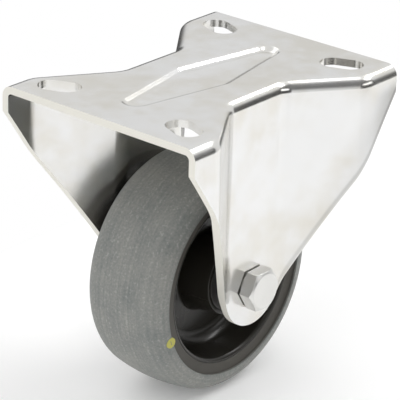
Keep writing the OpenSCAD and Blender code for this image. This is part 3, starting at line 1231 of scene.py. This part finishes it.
@dataclass
class Wheel:
    """The black core, the grey tyre and the marker in its shoulder."""

    radius: float = 0.040
    breadth: float = 0.032
    shoulder: float = 0.006
    crown: float = 0.060
    band: float = 0.0328
    band_set: float = 0.0009
    band_edge: float = 0.0002
    band_slope: float = 0.0009
    band_drop: float = 0.0001
    lip: float = 0.0292
    lip_thick: float = 0.0009
    lip_set: float = 0.0014
    lip_flat: float = 0.0012
    lip_rise: float = 0.00005
    lip_edge: float = 0.0002
    lip_depth: float = 0.0006
    rim: float = 0.031
    rim_edge: Point2 = (0.0002, 0.0024)
    grip: Point2 = (0.0006, 0.0026)
    dish_foot: float = 0.0268
    dish_round: float = 0.005
    dish_wall: float = 14.0
    mouth_set: float = 0.0007
    mouth_round: float = 0.0014
    web: float = 0.005
    hub_length: float = 0.030
    hub: float = 0.0125
    hub_draft: float = 0.0012
    bearing: float = BEARING_RADIUS
    bearing_inner: float = 0.0078
    hub_step: float = 0.0016
    hub_break: float = 0.0004
    hub_round: float = 0.0005
    hub_root: float = 0.0012
    marker: float = 0.0036
    marker_reach: float = 0.0336
    marker_turn: float = 200.0
    marker_depth: float = 0.0011
    marker_sunk: float = 0.0005
    marker_insets: tuple[Point2, Point2] = ((0.0003, 0.0), (0.0006, 0.00005))
    slit: Point3 = (0.0003, 0.0018, 0.0005)
    slit_height: float = 0.0006

    def _crown_arc(self) -> tuple[float, float, float, float]:
        """Where the tread's arc meets the shoulders' arcs.

        Returns:
            The tread arc's centre, its half angle in degrees, and the shoulder centre's radius and place.
        """
        centre = self.radius - self.crown
        y = self.breadth / 2 - self.shoulder
        lean = math.asin(y / (self.crown - self.shoulder))
        return centre, math.degrees(lean), centre + (self.crown - self.shoulder) * math.cos(lean), y

    def _tyre_section(self) -> list[Point2]:
        """Half section of the tyre, from the near lip over the tread to the far lip.

        Returns:
            The points as radius and place along the axle.
        """
        centre, lean, knee, y = self._crown_arc()
        edge, lip_y = self.breadth / 2 - self.band_set, self.breadth / 2 - self.lip_set
        side = [
            (self.lip, -lip_y), (self.lip + self.lip_flat, -lip_y - self.lip_rise),
            (self.band - self.band_slope, -edge + self.band_drop), (self.band - self.band_edge, -edge),
        ]
        reach = math.degrees(math.acos((self.band - knee) / self.shoulder))
        shoulder = arc((knee, -y), self.shoulder, -reach, -lean, 14)
        tread = arc((centre, 0), self.crown, -lean, lean, 16)[1:-1]
        mirrored = [(r, -p) for r, p in reversed([*side, *shoulder])]
        floor, foot = self.rim - self.grip[0], lip_y - self.grip[1]
        return [*side, *shoulder, *tread, *mirrored, (floor, foot), (floor, -foot)]

    def _core_section(self) -> list[Point2]:
        """Half section of the core, from the near bearing over the dish to the far bearing.

        Returns:
            The points as radius and place along the axle.
        """
        lip_y, hub_end = self.breadth / 2 - self.lip_set, self.hub_length / 2
        bend, root, dish, mouth = self.hub_round, self.hub_root, self.dish_round, self.mouth_round
        web = -self.web / 2
        half = [
            (self.bearing, -hub_end + self.hub_break), (self.bearing + self.hub_break, -hub_end),
            *arc((self.hub - bend, -hub_end + bend), bend, 270, 360, 5),
            *arc((self.hub + self.hub_draft + root, web - root), root, 180, 90, 8),
            *arc((self.dish_foot - dish, web - dish), dish, 90, self.dish_wall, 12),
            *arc((self.lip - self.lip_thick + self.mouth_set, -lip_y + mouth), mouth, 190, 270, 12),
            *arc((self.lip - self.lip_edge, -lip_y + self.lip_edge), self.lip_edge, 270, 350, 3),
            (self.lip, -lip_y + self.lip_depth), (self.rim - self.rim_edge[0], -lip_y + self.rim_edge[1]),
        ]
        stop = self.bearing - self.hub_step
        bore = [
            (self.bearing, self.bearing_inner), (stop, self.bearing_inner),
            (stop, -self.bearing_inner), (self.bearing, -self.bearing_inner),
        ]
        return [*half, *((r, -y) for r, y in reversed(half)), *bore]

    def _marker_frame(self) -> Matrix:
        """The marker's place on the shoulder, with z square to the surface.

        Returns:
            The place and turn.
        """
        _, _, knee, y = self._crown_arc()
        tilt = math.asin((self.marker_reach - knee) / self.shoulder)
        spin = Matrix.Rotation(math.radians(-self.marker_turn), 4, "Y")
        lean = Matrix.Rotation(math.pi / 2, 4, "X") @ Matrix.Rotation(tilt, 4, "Y")
        shoulder = Matrix.Translation((knee, -y, 0)) @ lean @ Matrix.Translation((0, 0, self.shoulder))
        return Matrix.Translation((0, 0, AXLE_Z)) @ spin @ shoulder

    def _marker(self) -> None:
        """A round plug with a fine slit across it."""
        deselect()
        bpy.ops.mesh.primitive_cylinder_add(vertices=32, radius=self.marker / 2, depth=self.marker_depth)
        piece = bpy.context.active_object
        piece.name = "marker_plug"
        pick(piece, "polygons", lambda f: f.normal.z > FACING)
        with editing(piece, "FACE"):
            for thickness, depth in self.marker_insets:
                bpy.ops.mesh.inset(thickness=thickness, depth=depth)
        deselect()
        bpy.ops.mesh.primitive_cube_add(size=1, location=(0, 0, self.slit_height), scale=self.slit)
        slit = bpy.context.active_object
        settle(slit)
        cut(piece, slit)
        with editing(piece):
            bpy.ops.mesh.select_all(action="SELECT")
            bpy.ops.transform.translate(value=(0, 0, -self.marker_sunk))
        piece.matrix_world = self._marker_frame()
        settle(piece)
        smooth(piece)
        place(piece, Body.WHEEL, Finish.MARKER_YELLOW, "marker_dot")

    def build(self) -> None:
        """Makes the core, the tyre and the marker."""
        core, tyre = self._core_section(), self._tyre_section()
        add_turned("wheel_core_turned", core, 128, Body.WHEEL, Finish.CORE_PLASTIC, "wheel_core")
        add_turned("tyre_moulded", tyre, 160, Body.WHEEL, Finish.TYRE_RUBBER, "tyre")
        self._marker()


# The studio and the camera


@dataclass(frozen=True)
class Panel:
    """One soft light: where it stands, its two sides in metres and its power in watts."""

    name: str
    stands_at: Point3
    size: Point2
    power: float

    def build(self, aim: Vector) -> None:
        """Makes the light.

        Args:
            aim: what it points at.
        """
        light = bpy.data.lights.new(self.name, "AREA")
        light.shape = "RECTANGLE"
        light.size, light.size_y = self.size
        light.energy = self.power
        lamp = bpy.data.objects.new(self.name, light)
        bpy.context.scene.collection.objects.link(lamp)
        lamp.location = self.stands_at
        lamp.rotation_mode = "QUATERNION"
        lamp.rotation_quaternion = (aim - Vector(self.stands_at)).to_track_quat("-Z", "Y")


@dataclass(frozen=True)
class DarkSpot:
    """A round dark place in the surround: its direction, where it fades in and how deep it is."""

    way: Point3
    reach: Point2
    depth: float


@dataclass
class Studio:
    """A pale floor, soft lights and a plain surround."""

    floor_z: float = -0.107
    floor_size: Point2 = (1.1, 0.52)
    floor_centre: Point2 = (-0.165, -0.145)
    floor_colour: Colour = (0.92, 0.92, 0.92)
    floor_roughness: float = 0.9
    floor_glow: float = 0.13
    backdrop: float = 0.85
    dark: float = 0.06
    dark_side: Point3 = (0.35, -0.937, 0.0)
    dark_reach: Point2 = (0.74, 0.86)
    dark_height: Point2 = (0.46, 0.66)
    viewer: DarkSpot = DarkSpot((-0.70, -0.591, 0.40), (0.86, 0.96), 0.65)
    overhead: DarkSpot = DarkSpot((-0.05, -0.85, 0.52), (0.78, 0.95), 0.8)
    behind: DarkSpot = DarkSpot((0.72, 0.60, -0.35), (0.80, 0.90), 1.0)
    aim: Point3 = (0, 0, -0.05)
    panels: tuple[Panel, ...] = (
        Panel("key", (-0.9, -0.5, 1.1), (1.2, 1.2), 3.4),
        Panel("side", (0.90, -0.48, 1.06), (1.0, 0.28), 5),
        Panel("back", (0.3, 1.3, 1.0), (1.2, 0.8), 2.2),
        Panel("top", (0.2, -0.22, 1.2), (0.4, 0.3), 0.9),
        Panel("front", (0.33, -1.0, 0.3), (0.7, 0.25), 1.0),
    )

    def _surround(self) -> None:
        """A pale room with one dark side and three dark spots; the camera itself sees plain white."""
        world = bpy.data.worlds.new("surround")
        world.use_nodes = True
        graph = Graph(world.node_tree)
        x, y, z = graph.parts(graph.node("ShaderNodeTexCoord", {}, {}, "Generated"))

        def towards(way: Point3) -> Value:
            """How far a direction points a given way."""
            return x * way[0] + y * way[1] + z * way[2]

        side = towards(self.dark_side).ramp(*self.dark_reach) * (1 - z.ramp(*self.dark_height))
        light = 1 - side
        for spot in (self.viewer, self.overhead, self.behind):
            light = light * (1 - spot.depth * towards(spot.way).ramp(*spot.reach))
        glow = self.dark + (self.backdrop - self.dark) * light
        seen = graph.node("ShaderNodeLightPath", {}, {}, "Is Camera Ray")
        strength = seen + (1 - seen) * glow
        background = world.node_tree.nodes["Background"]
        graph.feed(background.inputs["Color"], (1, 1, 1, 1))
        graph.feed(background.inputs["Strength"], strength)
        bpy.context.scene.world = world

    def _floor(self) -> None:
        """A plain pale floor under the wheel."""
        deselect()
        bpy.ops.mesh.primitive_plane_add(size=1, location=(*self.floor_centre, self.floor_z))
        floor = bpy.context.active_object
        floor.scale = (*self.floor_size, 1)
        settle(floor)
        floor.name = "floor"
        paint = bpy.data.materials.new("pale floor")
        paint.use_nodes = True
        shader = paint.node_tree.nodes["Principled BSDF"]
        shader.inputs["Base Color"].default_value = (*self.floor_colour, 1)
        shader.inputs["Roughness"].default_value = self.floor_roughness
        shader.inputs["Emission Color"].default_value = (1, 1, 1, 1)
        shader.inputs["Emission Strength"].default_value = self.floor_glow
        floor.data.materials.append(paint)

    def build(self) -> None:
        """Makes the floor, the lights and the surround."""
        self._floor()
        for panel in self.panels:
            panel.build(Vector(self.aim))
        self._surround()
        bpy.context.scene.view_settings.view_transform = "Standard"


@dataclass
class Camera:
    """The photograph's viewing angle."""

    azimuth: float = -49.816
    elevation: float = 23.593
    roll: float = 1.296
    distance: float = 0.756245
    aim: Point3 = (-0.000847, 0.000423, -0.04358)
    focal_pixels: float = 2322.07
    centre_pixels: Point2 = (197.327, 200.389)
    frame_pixels: float = 400.0
    sensor: float = 36.0
    clip: Point2 = (0.01, 50.0)

    def build(self) -> None:
        """Places the camera and makes it the scene's."""
        a, e, roll = (math.radians(v) for v in (self.azimuth, self.elevation, self.roll))
        back = Vector((math.sin(a) * math.cos(e), -math.cos(a) * math.cos(e), math.sin(e)))
        right = Vector((math.cos(a), math.sin(a), 0))
        up = back.cross(right)
        across = math.cos(roll) * right + math.sin(roll) * up
        upright = -math.sin(roll) * right + math.cos(roll) * up
        data = bpy.data.cameras.new("camera")
        data.sensor_width = self.sensor
        data.lens = self.focal_pixels * self.sensor / self.frame_pixels
        data.shift_x = (self.frame_pixels / 2 - self.centre_pixels[0]) / self.frame_pixels
        data.shift_y = (self.centre_pixels[1] - self.frame_pixels / 2) / self.frame_pixels
        data.clip_start, data.clip_end = self.clip
        camera = bpy.data.objects.new("camera", data)
        bpy.context.scene.collection.objects.link(camera)
        facing = Matrix((across, upright, back)).transposed().to_4x4()
        camera.matrix_world = Matrix.Translation(Vector(self.aim) + back * self.distance) @ facing
        bpy.context.scene.camera = camera


def main() -> None:
    """Builds the castor, the studio and the camera in order."""
    logging.basicConfig(level=logging.INFO, format="%(name)s: %(message)s")
    for part in (Bracket(), Fastening(), Bearings(), Wheel(), Studio(), Camera()):
        part.build()
        log.info("%s done", type(part).__name__)


if __name__ == "__main__":
    main()
